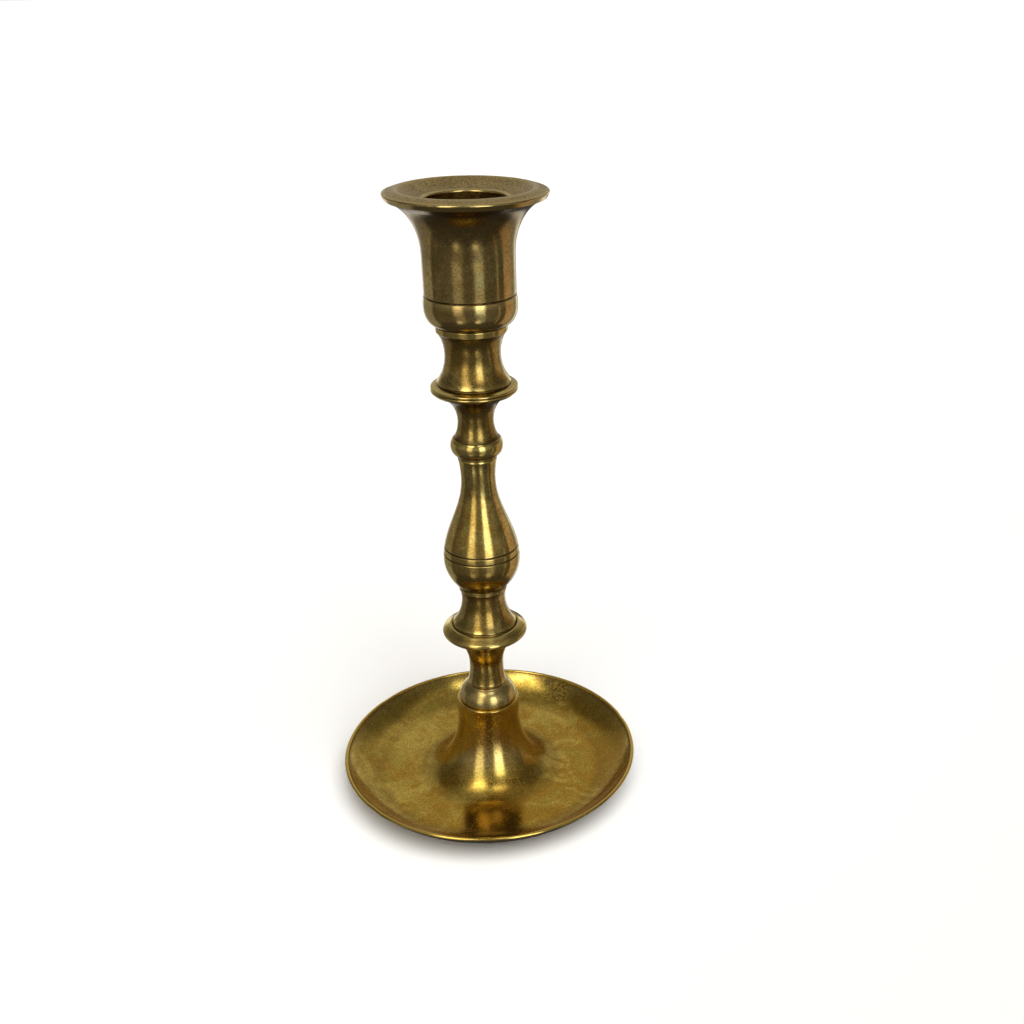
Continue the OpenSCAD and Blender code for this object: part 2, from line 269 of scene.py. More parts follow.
def cup_outline():
    foot, h, rim_r = FOOT["candle_cup"], TALL["candle_cup"], WIDEST["candle_cup"]
    lip, socket_z = h - RIDGE_H, h - SOCKET_DEPTH
    mouth_r, mouth_z = SOCKET_R + MOUTH_W, h - MOUTH_DROP
    bowl = back(bend((12.4, 4.9), (9.6, 0.2))) + bend((12.4, 4.9), (12.1, 7.8), 40)
    flare = bend((12.1, 18.0), (rim_r - 0.9, lip - 1.7), 76)
    edge = [(rim_r - 0.6, lip - 1.6)] + arc((rim_r - 0.4, lip - 0.4), 0.4, -10, 90)
    ridge = arc((17.5, lip), RIDGE_H, 80, 118)
    bevel = back(dish(ridge[0], (rim_r - 0.4, lip), 1.4))
    dip = back(dish((mouth_r, mouth_z), ridge[-1], 1.35))
    mouth = back(bend((SOCKET_R, mouth_z - MOUTH_DEPTH), (mouth_r, mouth_z)))
    socket = [(SOCKET_R, socket_z), (WELL_R, socket_z), (WELL_R, WELL_Z), (BORE_R, WELL_Z)]
    visible = tidy([(9.3, 0.0), (9.6, 0.2)] + bowl + flare + edge + bevel + ridge + dip + mouth)
    visible = dense(sunk_line(visible, 7.8), FINE_GAP) + dense([mouth[-1]] + socket, COARSE_GAP)[1:]
    return section(raised(visible, foot), foot, HEAD["candle_cup"], SPIGOT_R, None)


def plate_outline(node, trim=0.0):
    """A flat ring with square edges, as thick and wide as the node."""
    low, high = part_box(node)
    r, z, top = high.x / MM - trim, low.z / MM, high.z / MM
    return [(HOLE_R, z), (r, z), (r, top), (HOLE_R, top)]


# ---------------------------------------------------------------- meshes
def marks_of(loop):
    """For each point of a closed outline: how far along it is, how hollow, how proud, and its normal."""
    points = np.array(loop)
    steps = np.linalg.norm(np.roll(points, -1, 0) - points, axis=1)
    along = np.concatenate([[0.0], np.cumsum(steps)])
    total = along[-1]
    ring = np.vstack([points, points[:1]])

    def at(s):
        s = np.mod(s, total)
        return np.stack([np.interp(s, along, ring[:, k]) for k in (0, 1)], 1)

    s = along[:-1]
    tangent = at(s + 0.05) - at(s - 0.05)
    tangent /= np.maximum(np.linalg.norm(tangent, axis=1, keepdims=True), 1e-9)
    area = np.sum(ring[:-1, 0] * ring[1:, 1] - ring[1:, 0] * ring[:-1, 1])
    normal = np.stack([tangent[:, 1], -tangent[:, 0]], 1) * math.copysign(1, area)
    hollow, proud = np.zeros(len(points)), np.zeros(len(points))
    for reach, depth in ((0.45, 0.09), (1.1, 0.22)):
        chord = (at(s + reach) + at(s - reach)) / 2 - points
        out = np.sum(chord * normal, 1) / depth
        hollow = np.maximum(hollow, np.clip(out, 0, 1))
        proud = np.maximum(proud, np.clip(-out, 0, 1))
    return s, hollow, proud, normal


def add_points_data(mesh, name, values):
    layer = mesh.attributes.new(name, "FLOAT", "POINT")
    layer.data.foreach_set("value", np.asarray(values, np.float32))


def new_object(name, data):
    obj = bpy.data.objects.new(name, data)
    bpy.context.scene.collection.objects.link(obj)
    return obj


def turned(name, loop, shape=None, finish=None, around=AROUND):
    """A lathed piece from a closed outline. shape(r, z, angle) gives the point's own radius and height."""
    loop = softened(tidy(loop))
    along, hollow, proud, normal = marks_of(loop)
    count = len(loop)
    verts = []
    for j in range(around):
        a = 2 * math.pi * j / around
        for r, z in loop:
            if shape:
                r, z = shape(r, z, a)
            verts.append((r * math.cos(a) * MM, r * math.sin(a) * MM, z * MM))
    faces = []
    for j in range(around):
        k = (j + 1) % around
        for i in range(count):
            n = (i + 1) % count
            faces.append((j * count + i, k * count + i, k * count + n, j * count + n))
    mesh = bpy.data.meshes.new(name)
    mesh.from_pydata(verts, [], faces)
    r, z = np.array(loop).T
    seam = np.zeros(count)
    for joint in JOINTS:
        beside = (r > SPIGOT_R + 0.5) & (np.abs(normal[:, 1]) < 0.8)
        seam = np.maximum(seam, np.exp(-((z - joint) / 0.17) ** 2) * beside)
    add_points_data(mesh, "along", np.tile(along, around))
    # Hollows and joints: where grime gathers, and where shade is painted in as darker colour
    add_points_data(mesh, "grime", np.tile(np.maximum(hollow, seam), around))
    add_points_data(mesh, "wear", np.tile(proud * (1 - 0.6 * seam), around))
    cast, satin = finish(r, z, normal) if finish else (np.zeros(count), np.zeros(count))
    add_points_data(mesh, "cast", np.tile(cast, around))
    add_points_data(mesh, "satin", np.tile(satin, around))
    # How far each point faces downward, for the painted shade on the undersides
    add_points_data(mesh, "under", np.tile(np.clip((-normal[:, 1] - 0.35) / 0.45, 0, 1), around))
    finish_mesh(mesh)
    return new_object(name, mesh)


def finish_mesh(mesh):
    """Turns every face outward and shades it smooth."""
    made = bmesh.new()
    made.from_mesh(mesh)
    bmesh.ops.recalc_face_normals(made, faces=made.faces)
    made.to_mesh(mesh)
    made.free()
    mesh.shade_smooth()
    mesh.update()


def lofted(name, rings):
    """A skin over closed rings of equal length; a first or last ring of one point is a tip."""
    verts, faces, starts = [], [], []
    for ring in rings:
        starts.append(len(verts))
        verts += [tuple(c * MM for c in p) for p in ring]
    for a in range(len(rings) - 1):
        b = a + 1
        n = max(len(rings[a]), len(rings[b]))
        for i in range(n):
            k = (i + 1) % n
            if len(rings[a]) == 1:
                faces.append((starts[a], starts[b] + i, starts[b] + k))
            elif len(rings[b]) == 1:
                faces.append((starts[a] + k, starts[a] + i, starts[b]))
            else:
                faces.append((starts[a] + i, starts[a] + k, starts[b] + k, starts[b] + i))
    mesh = bpy.data.meshes.new(name)
    mesh.from_pydata(verts, [], faces)
    finish_mesh(mesh)
    return new_object(name, mesh)


def clamp(value):
    return min(1.0, max(0.0, value))


def dent_depth(angle, dents):
    """How far an edge is knocked in; each dent has its angle, half width in radians, and depth."""
    total = 0.0
    for at, half, deep in dents:
        off = math.remainder(angle - at, 2 * math.pi) / half
        total += deep * math.exp(-off * off)
    return total


def polished_wobble(seed, most=0.05, size=11.0):
    """A hand-polished section is never quite round: its surface sinks by up to most."""
    offset = Vector((seed * 7.3, seed * 3.1, seed * 5.7))

    def shape(r, z, a):
        if r < SPIGOT_R + 0.4:
            return r, z
        p = Vector((r * math.cos(a), r * math.sin(a), z)) / size
        sink = most * (0.5 + 0.5 * noise.noise(p + offset))
        return r - sink, z

    return shape


SAUCER_DENTS = [(0.35, 0.045, 0.16), (1.62, 0.03, 0.1), (2.5, 0.06, 0.14), (3.9, 0.035, 0.18),
                (5.2, 0.05, 0.12)]
CUP_DENTS = [(0.9, 0.05, 0.12), (2.75, 0.035, 0.1), (4.4, 0.04, 0.09)]
cup_wobble = polished_wobble(7, 0.06, 13.0)


def saucer_shape(r, z, a):
    """The saucer's floor is a little uneven from casting and polishing, and its edge has small dents."""
    x, y = r * math.cos(a), r * math.sin(a)
    if r > 10 and z > 0.2:
        floor_share = clamp((r - 20) / 6) * clamp((45.5 - r) / 2)
        swell = noise.noise(Vector((x, y, 3.0)) / 13) + 0.45 * noise.noise(Vector((x, y, 40.0)) / 5.5)
        z += 0.07 * floor_share * swell
        r -= 0.05 * (0.5 + 0.5 * noise.noise(Vector((x, y, z)) / 15))
    if r > 43.5:
        r -= dent_depth(a, SAUCER_DENTS)
    return min(r, WIDEST["saucer_base"]), z


def cup_shape(r, z, a):
    """The cup's wall wobbles, and its rim sags a little here and there and has small dents."""
    r, z = cup_wobble(r, z, a)
    if z > HEAD["candle_cup"] - 3.6 and r > SOCKET_R + 1:
        p = Vector((math.cos(a), math.sin(a), 0.0)) * 1.6
        z -= 0.05 * (0.5 + 0.5 * noise.noise(p)) * min(1.0, (r - SOCKET_R - 1) / 3)
        r -= dent_depth(a, CUP_DENTS) * clamp((r - 19.5) / 1.2)
    return r, z


def saucer_finish(r, z, normal):
    """The hollow side of the foot was never polished, and the trumpet is a little softer than the floor."""
    hollow = (normal[:, 1] < -0.02) | ((normal[:, 0] < 0) & (z < CROWN_Z + 0.1))
    cast = (hollow & (r < STAND_R)).astype(float)
    trumpet = np.clip((24 - r) / 6, 0, 1) * (1 - cast)
    return cast, 0.08 * trumpet


def cup_finish(r, z, normal):
    """The rim's face and the socket's mouth are dull, and deep in the socket the brass keeps its tarnish."""
    inside = (r < SOCKET_R + 0.4) & (z > FOOT["candle_cup"] + 3)
    depth = HEAD["candle_cup"] - z
    cast = np.where(inside, np.clip((depth - 6) / 5, 0, 1), 0.0)
    upward = np.clip((normal[:, 1] - 0.6) / 0.2, 0, 1)
    face = np.clip((r - SOCKET_R - 0.7) / 0.5, 0, 1) * upward * (depth < 3)
    return cast, np.maximum(face, np.where(inside, 0.2, 0.0))


def screw_radius(z, a, low, high, fade=0.9):
    """The radius of a rod with a thread between two heights that fades out at both ends."""
    share = clamp((z - low) / fade) * clamp((high - z) / fade)
    turn = (z / THREAD_PITCH - a / (2 * math.pi)) % 1.0
    flank = clamp(abs(2 * turn - 1) * 1.35 - 0.12)
    return ROD_R - 0.02 - THREAD_DEPTH * share * (1 - flank)


def threaded_rod():
    """A rod with a thread at each end, with dense rings along the threads and chamfered ends."""
    low, high = (c.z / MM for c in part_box("tie_rod"))
    around, step, count = 56, 0.1, 150
    threads = ((low - 0.5, low + THREAD_LENGTH), (high - THREAD_LENGTH, high + 0.5))
    lower = [low + 0.4 + step * i for i in range(count)]
    middle = list(np.linspace(lower[-1] + 2, high - 17, 12))
    upper = [high - 15.3 + step * i for i in range(count)]
    levels = [(low, 0.55), (low + 0.2, 0.25)] + [(h, 0.0) for h in lower + middle + upper]
    levels += [(high - 0.2, 0.25), (high, 0.55)]
    rings = [[(0.0, 0.0, low)]]
    for z, trim in levels:
        ring = []
        for j in range(around):
            a = 2 * math.pi * j / around
            r = min(screw_radius(z, a, *threads[0]), screw_radius(z, a, *threads[1]), ROD_R - trim)
            ring.append((r * math.cos(a), r * math.sin(a), z))
        rings.append(ring)
    rings.append([(0.0, 0.0, high)])
    return lofted("threaded_rod", rings)


def spring_washer():
    """A square wire wound once round, with its two ends a little apart."""
    low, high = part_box("lock_washer")
    z, top, outer = low.z / MM, high.z / MM, high.x / MM
    inner, rise, corner = ROD_R + 0.1, 0.16, 0.12
    thick = top - z - rise
    half_gap = math.asin(0.4 / outer) + 0.03
    profile = []
    for cx, cy, start in ((outer - corner, z + thick - corner, 0), (inner + corner, z + thick - corner, 90),
                          (inner + corner, z + corner, 180), (outer - corner, z + corner, 270)):
        profile += arc((cx, cy), corner, start, start + 90, 4)
    rings = []
    for i in range(SMALL_AROUND + 1):
        u = i / SMALL_AROUND
        a = half_gap + (2 * math.pi - 2 * half_gap) * u
        rings.append([(r * math.cos(a), r * math.sin(a), h + rise * u) for r, h in profile])
    tips = [[tuple(sum(p[k] for p in ring) / len(ring) for k in range(3))] for ring in (rings[0], rings[-1])]
    return lofted("spring_washer", [tips[0]] + rings + [tips[1]])


def apply_modifiers(obj):
    """Gives the object its mesh with its modifiers applied."""
    evaluated = obj.evaluated_get(bpy.context.evaluated_depsgraph_get())
    mesh = bpy.data.meshes.new_from_object(evaluated)
    obj.modifiers.clear()
    obj.data = mesh


def box_object(name, low, high):
    made = bmesh.new()
    bmesh.ops.create_cube(made, size=1.0)
    for v in made.verts:
        v.co = Vector((low[k] + (high[k] - low[k]) * (v.co[k] + 0.5) for k in range(3))) * MM
    mesh = bpy.data.meshes.new(name)
    made.to_mesh(mesh)
    made.free()
    return new_object(name, mesh)


def slotted_nut():
    """A round nut with a slot for a screwdriver cut across its top."""
    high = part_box("cup_nut")[1]
    r, top, half_slot, slot_depth = high.x / MM, high.z / MM, 0.6, 1.0
    nut = turned("nut_upper", plate_outline("cup_nut", 0.02), around=SMALL_AROUND)
    cutter = box_object("slot", (-r - 1, -half_slot, top - slot_depth), (r + 1, half_slot, top + 1))
    cut = nut.modifiers.new("slot", "BOOLEAN")
    cut.object = cutter
    cut.operation = "DIFFERENCE"
    cut.solver = "EXACT"
    apply_modifiers(nut)
    bpy.data.objects.remove(cutter)
    nut.data.shade_smooth()
    nut.data.set_sharp_from_angle(angle=math.radians(30))
    return nut


def hexagon_nut():
    """A hexagon nut whose corners are turned off to a cone above and below."""
    low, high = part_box("base_nut")
    z, top, flats = low.z / MM, high.z / MM, high.y / MM
    corner = flats / math.cos(math.radians(30))
    cone_h, cone_w, steps = 0.55, 0.6, 6
    face_r = HOLE_R + 0.4

    def ring(height, limit):
        """The hexagon at this height, cut back to a circle where it is wider than the limit."""
        points = []
        for j in range(SMALL_AROUND):
            a = 2 * math.pi * j / SMALL_AROUND
            side = math.remainder(a - math.pi / 6, math.pi / 3)
            r = min(flats / math.cos(side), limit)
            points.append((r * math.cos(a), r * math.sin(a), height))
        return points

    levels = [(z + cone_h * k / steps, corner - cone_w * (1 - k / steps)) for k in range(steps + 1)]
    levels += [(z + top - h, limit) for h, limit in reversed(levels)]
    levels = [(z, HOLE_R), (z, face_r)] + levels + [(top, face_r), (top, HOLE_R)]
    rings = [ring(h, limit) for h, limit in levels]
    nut = lofted("nut_lower", rings + [rings[0]])
    made = bmesh.new()
    made.from_mesh(nut.data)
    bmesh.ops.remove_doubles(made, verts=made.verts, dist=1e-7)
    bmesh.ops.recalc_face_normals(made, faces=made.faces)
    made.to_mesh(nut.data)
    made.free()
    nut.data.set_sharp_from_angle(angle=math.radians(24))
    return nut


# ---------------------------------------------------------------- materials
class Graph:
    """Short calls for building a node tree. Sockets and plain values can be mixed freely."""

    def __init__(self, tree):
        self.tree = tree

    def add(self, kind, inputs=(), out=0, **settings):
        made = self.tree.nodes.new(kind)
        for key, value in settings.items():
            setattr(made, key, value)
        for key, value in dict(inputs).items():
            if isinstance(value, bpy.types.NodeSocket):
                self.tree.links.new(value, made.inputs[key])
            elif value is not None:
                made.inputs[key].default_value = value
        return made.outputs[out] if made.outputs else None

    def math(self, operation, a, b=None, c=None, clamp=False):
        return self.add("ShaderNodeMath", {0: a, 1: b, 2: c}, operation=operation, use_clamp=clamp)

    def vector(self, operation, a, b=None, scale=None):
        out = 1 if operation in ("LENGTH", "DOT_PRODUCT") else 0
        inputs = {0: a, 1: b} if scale is None else {0: a, "Scale": scale}
        return self.add("ShaderNodeVectorMath", inputs, out, operation=operation)

    def combine(self, x, y, z):
        return self.add("ShaderNodeCombineXYZ", {0: x, 1: y, 2: z})

    def separate(self, vector):
        node = self.tree.nodes.new("ShaderNodeSeparateXYZ")
        self.tree.links.new(vector, node.inputs[0])
        return node.outputs

    def noise(self, vector, scale, detail, rough, warp=0.0):
        inputs = {"Vector": vector, "Scale": scale, "Detail": detail, "Roughness": rough, "Distortion": warp}
        return self.add("ShaderNodeTexNoise", inputs)

    def ramp(self, value, low, high, to_low=0.0, to_high=1.0):
        """A smooth step from one value to another while the input goes from low to high."""
        inputs = {0: value, 1: low, 2: high, 3: to_low, 4: to_high}
        return self.add("ShaderNodeMapRange", inputs, interpolation_type="SMOOTHSTEP", clamp=True)

    def mix(self, share, a, b, blend="MIX"):
        inputs = {0: share, 6: a, 7: b}
        return self.add("ShaderNodeMix", inputs, 2, data_type="RGBA", blend_type=blend, clamp_factor=True)

    def attribute(self, name):
        return self.add("ShaderNodeAttribute", out=2, attribute_name=name)


def blank_material(name):
    material = bpy.data.materials.new(name)
    material.use_nodes = True
    material.node_tree.nodes.clear()
    return material, Graph(material.node_tree)


def colour(rgb, tone=(1.0, 1.0, 1.0)):
    """A colour with each channel scaled by the tone, and no channel over 1."""
    return (*(min(1.0, c * k) for c, k in zip(rgb, tone)), 1.0)


def shifted_mm(g, seed, shift):
    """The object's own coordinates in metres, and in millimetres with the pattern moved along."""
    place = g.add("ShaderNodeTexCoord", out="Object")
    return place, g.vector("ADD", g.vector("SCALE", place, scale=1000.0), tuple(seed * c for c in shift))


def scratches(g, p, angles, seed):
    """Fine straight scratches, a layer for each angle, as a mask."""
    long, across, level = 0.05, 2.6, 0.665
    mask = None
    for k, angle in enumerate(angles):
        c, s = math.cos(math.radians(angle)), math.sin(math.radians(angle))
        along = g.vector("DOT_PRODUCT", p, (c, s, 0.35))
        side = g.vector("DOT_PRODUCT", p, (-s, c, 0.22))
        up = g.vector("DOT_PRODUCT", p, (0.3, -0.2, 0.93))
        v = g.combine(g.math("MULTIPLY", along, long), g.math("MULTIPLY", side, across),
                      g.math("MULTIPLY_ADD", up, across * 0.6, 17.0 * k + seed))
        line = g.ramp(g.noise(v, 1.0, 1.0, 0.4), level, level + 0.035)
        mask = line if mask is None else g.math("MAXIMUM", mask, line)
    patch = g.ramp(g.noise(p, 0.11, 2.0, 0.5), 0.42, 0.6)
    return g.math("MULTIPLY", mask, patch)


def metal_surface(g, tint, rough, height, lift, metal=1.0, more=()):
    """The shader itself, whose colour, gloss and relief come from the sockets given."""
    normal = g.add("ShaderNodeBump", {"Strength": 1.0, "Distance": lift, "Height": height})
    inputs = {"Base Color": tint, "Metallic": metal, "Roughness": rough, "Normal": normal}
    shader = g.add("ShaderNodeBsdfPrincipled", {**inputs, **dict(more)})
    g.add("ShaderNodeOutputMaterial", {"Surface": shader})


def blotch(g, place, p, centre, radius, ragged=0.35):
    """A ragged-edged patch round a point given in millimetres, as a mask."""
    off = g.vector("LENGTH", g.vector("SUBTRACT", g.vector("SCALE", place, scale=1000.0), centre))
    edge = g.math("MULTIPLY_ADD", g.noise(p, 0.45, 4.0, 0.6), -ragged * radius * 2, off)
    return g.ramp(edge, radius * (1.0 - ragged), radius * (0.7 - ragged))


def grey(g, value):
    return g.combine(value, value, value)


# Tones by which the bright brass is tinted where it is pale, olive, dusty, scratched or worn
PALE_TONE, OLIVE_TONE, DUSTY_TONE = (0.88, 0.98, 2.3), (0.74, 0.86, 0.85), (0.74, 0.72, 0.80)
SCRATCH_TONE, WORN_TONE = (1.12, 1.12, 1.12), (1.08, 1.08, 1.08)
SCRATCH_ANGLES = (20, 75, 140)
BRASS_LIFT, STEEL_LIFT = 0.000006, 0.00001


def brass(name, bright, dull, dark, warm, gloss, seed, mottle=1.0, lines=1.0, warmth=0.5, olive=0.65,
          patina=(0.40, 0.66), scratch=1.0, anisotropy=0.25, painted_reflections=(), scuffs=(), warm_fade=None):
    """Old polished brass: bright metal under a patchy film, with grime and painted shade in hollows, painted
    shade underneath, and worn edges.

    mottle, lines and scratch scale the clouds, turning lines and scratches; warmth and olive are how
    strong the two tarnish tints get. patina is where the film starts and is full. warm_fade gives two
    heights in millimetres between which the warm tint falls, and how much of it is left above.
    painted_reflections are painted dark reflections, a centre, radius and depth each; scuffs are a centre
    and radius.
    """
    material, g = blank_material(name)
    place, p = shifted_mm(g, seed, (31.0, 17.0, 5.0))
    grime, wear, cast, satin, under = (g.attribute(k) for k in ("grime", "wear", "cast", "satin", "under"))
    x, y = g.separate(p)[:2]
    rings = g.combine(g.math("MULTIPLY", x, 0.05), g.math("MULTIPLY", y, 0.05), g.attribute("along"))

    film = g.noise(p, 0.085, 5.0, 0.62, 0.7)
    cloud = g.noise(p, 0.42, 4.0, 0.6, 0.4)
    grain = g.noise(p, 2.1, 4.0, 0.7)
    pits = g.ramp(g.noise(p, 1.5, 3.0, 0.6), 0.64, 0.72)
    coarse_lines = g.noise(rings, 1.3, 3.0, 0.6)
    fine_lines = g.noise(rings, 6.0, 2.0, 0.6)
    marks = scratches(g, p, SCRATCH_ANGLES, seed)

    # Colour: the film, the warm and olive tarnish, grain, pits, scratches, worn edges, painted dark
    # reflections, grime with painted shade in hollows, and painted shade underneath
    patchy = g.math("MULTIPLY_ADD", cloud, 0.45 * mottle, film)
    patchy = g.math("MULTIPLY_ADD", coarse_lines, 0.16 * lines, patchy)
    lowest = patina[0] + 0.225 * mottle + 0.08 * lines
    share = g.ramp(patchy, lowest, lowest + patina[1] - patina[0])
    tint = g.mix(share, colour(bright), colour(dull))
    tilt = g.vector("DOT_PRODUCT", place, (2.8, -1.6, 0.0))
    lean = g.math("ADD", tilt, g.noise(p, 0.10, 5.0, 0.68, 0.8))
    warm_share = g.math("MULTIPLY", g.ramp(lean, 0.45, 0.57), warmth)
    if warm_fade:
        level = g.math("MULTIPLY", g.separate(place)[2], 1000.0)
        low, high, left = warm_fade
        warm_share = g.math("MULTIPLY", warm_share, g.ramp(level, low, high, 1.0, left))
        tint = g.mix(g.ramp(level, low + 2.0, high + 3.0, 0.0, 0.6), tint, colour(bright, PALE_TONE))
    tint = g.mix(warm_share, tint, colour(warm))
    green = g.ramp(g.noise(p, 0.17, 4.0, 0.6, 0.5), 0.5, 0.64, 0.0, olive)
    tint = g.mix(green, tint, colour(bright, OLIVE_TONE))
    grainy = grey(g, g.ramp(grain, 0.3, 0.7, 1 - 0.34 * mottle, 1 + 0.28 * mottle))
    tint = g.mix(1.0, tint, grainy, "MULTIPLY")
    tint = g.mix(g.math("MULTIPLY", pits, 0.5 * mottle), tint, colour(dark))
    tint = g.mix(g.math("MULTIPLY", marks, 0.35 * scratch), tint, colour(bright, SCRATCH_TONE))
    tint = g.mix(g.math("MULTIPLY", wear, 0.6), tint, colour(bright, WORN_TONE))
    # Painted reflections: each patch darkens the tint towards the dark colour
    for centre, radius, depth in painted_reflections:
        painted_reflection_mask = blotch(g, place, p, centre, radius)
        tint = g.mix(g.math("MULTIPLY", painted_reflection_mask, depth), tint, colour(dark))
    worn = 0.0
    for centre, radius in scuffs:
        worn = g.math("MAXIMUM", worn, blotch(g, place, p, centre, radius, 0.45))
    fleck = g.ramp(g.noise(p, 1.3, 4.0, 0.7), 0.42, 0.58)
    tint = g.mix(g.math("MULTIPLY", worn, 0.75), tint, g.mix(fleck, colour(dark), colour(bright)))
    # Grime and painted shade: hollows and seams are darkened towards the dark colour, partly as dirt and
    # partly as painted shade
    dirt_and_shade = g.math("MULTIPLY", grime, g.ramp(g.noise(p, 0.5, 3.0, 0.6), 0.25, 0.6, 0.62, 1.0))
    tint = g.mix(dirt_and_shade, tint, colour(dark))
    rough_cast = g.mix(g.ramp(g.noise(p, 0.9, 5.0, 0.65), 0.35, 0.65), colour(dark), colour(dull))
    tint = g.mix(g.math("MULTIPLY", cast, 0.85), tint, rough_cast)
    speckle = g.ramp(g.noise(p, 1.7, 4.0, 0.75), 0.36, 0.64, 0.45, 1.4)
    dusty = g.mix(1.0, colour(bright, DUSTY_TONE), grey(g, speckle), "MULTIPLY")
    satin = g.math("MULTIPLY", satin, g.math("MULTIPLY_ADD", wear, -0.7, 1.0))
    tint = g.mix(g.math("MULTIPLY", satin, 0.75), tint, dusty)
    # Painted shade: faces turned downward are darkened towards the dark colour
    tint = g.mix(g.math("MULTIPLY", under, 0.72), tint, colour(dark))

    # Gloss: the film, marks and dirt each take some of it
    rough = g.ramp(g.noise(p, 0.2, 4.0, 0.6, 1.2), 0.3, 0.7, gloss * 0.8, gloss * 1.35)
    for layer, amount in ((share, 0.05), (grain, 0.05), (marks, 0.08 * scratch), (dirt_and_shade, 0.28), (satin, 0.22),
                          (worn, 0.2)):
        rough = g.math("MULTIPLY_ADD", layer, amount, rough)
    rough = g.math("MULTIPLY_ADD", cast, 0.3, rough, clamp=True)

    # Relief: turning lines, clouds, grain, pits, scratches, the cast lumps, dust and scuffs
    lumps = g.noise(p, 1.6, 5.0, 0.7)
    height = g.math("MULTIPLY", fine_lines, 0.16 * lines)
    for layer, amount in ((coarse_lines, 0.5 * lines), (cloud, 0.6 * mottle), (grain, 0.35), (pits, -0.45),
                          (marks, -0.22 * scratch), (lumps, g.math("MULTIPLY", cast, 22.0)),
                          (speckle, g.math("MULTIPLY", satin, 2.2)), (fleck, g.math("MULTIPLY", worn, 1.5))):
        height = g.math("MULTIPLY_ADD", layer, amount, height)
    brushed = {"Anisotropic": anisotropy, "Anisotropic Rotation": 0.25}
    metal_surface(g, tint, rough, height, BRASS_LIFT, more=brushed)
    return material


def worn_steel(name, bright, dark, rust, rusting=0.5, gloss=0.42, seed=0.0):
    """Dull steel with a skin of old oil and rust."""
    material, g = blank_material(name)
    p = shifted_mm(g, seed, (13.0, 7.0, 3.0))[1]
    cloud = g.noise(p, 0.5, 5.0, 0.62, 0.5)
    grain = g.noise(p, 4.5, 3.0, 0.6)
    bloom = g.ramp(g.noise(p, 0.75, 6.0, 0.68, 0.8), 0.66 - 0.28 * rusting, 0.8 - 0.28 * rusting)
    tint = g.mix(g.ramp(cloud, 0.3, 0.7), colour(dark), colour(bright))
    tint = g.mix(g.math("MULTIPLY", bloom, 0.8), tint, colour(rust))
    rough = g.ramp(cloud, 0.3, 0.7, gloss * 1.2, gloss * 0.85)
    rough = g.math("MULTIPLY_ADD", bloom, 0.35, rough, clamp=True)
    metal = g.math("SUBTRACT", 1.0, g.math("MULTIPLY", bloom, 0.75))
    height = g.math("MULTIPLY_ADD", bloom, 1.4, g.math("MULTIPLY_ADD", grain, 0.4, cloud))
    metal_surface(g, tint, rough, height, STEEL_LIFT, metal)
    return material


# Each brass has its bright, dull, dark and warm colour
MATERIALS = {
    "foot_brass": brass(
        "foot_brass", (0.89, 0.63, 0.13), (0.66, 0.43, 0.075), (0.14, 0.09, 0.03), (0.64, 0.375, 0.05),
        gloss=0.095, seed=1.0, mottle=1.15, lines=0.8, warmth=1.0, scratch=1.4, patina=(0.38, 0.66),
        warm_fade=(4.0, 9.0, 0.25), olive=0.4,
        # A painted dark reflection of the stem on the saucer's floor in front of it
        painted_reflections=[((2.0, -31.0, 3.0), 10.0, 0.7), ((3.0, -38.0, 4.0), 9.0, 0.7)],
        scuffs=[((21.0, 35.0, 7.0), 5.0)]),
    "collar_brass": brass(
        "collar_brass", (0.77, 0.62, 0.26), (0.54, 0.40, 0.14), (0.14, 0.10, 0.04), (0.56, 0.40, 0.14),
        gloss=0.16, seed=2.0, lines=1.2),
    "stem_brass": brass(
        "stem_brass", (0.79, 0.63, 0.22), (0.47, 0.32, 0.085), (0.09, 0.055, 0.02), (0.58, 0.37, 0.09),
        gloss=0.10, seed=3.0, warmth=0.6, patina=(0.36, 0.62), olive=0.3),
    "cup_brass": brass(
        "cup_brass", (0.74, 0.57, 0.23), (0.48, 0.35, 0.12), (0.10, 0.06, 0.025), (0.60, 0.40, 0.13),
        gloss=0.085, seed=4.0, mottle=0.9, lines=0.9),
    "fixing_brass": brass(
        "fixing_brass", (0.60, 0.44, 0.18), (0.40, 0.28, 0.10), (0.10, 0.07, 0.03), (0.44, 0.27, 0.08),
        gloss=0.34, seed=5.0, mottle=1.2, lines=1.6, anisotropy=0.0),
    "rod_steel": worn_steel("rod_steel", (0.34, 0.33, 0.31), (0.16, 0.15, 0.14), (0.20, 0.09, 0.04), 0.35),
    "fixing_steel": worn_steel(
        "fixing_steel", (0.42, 0.41, 0.38), (0.22, 0.21, 0.19), (0.24, 0.11, 0.05), 0.6, seed=2.0),
}

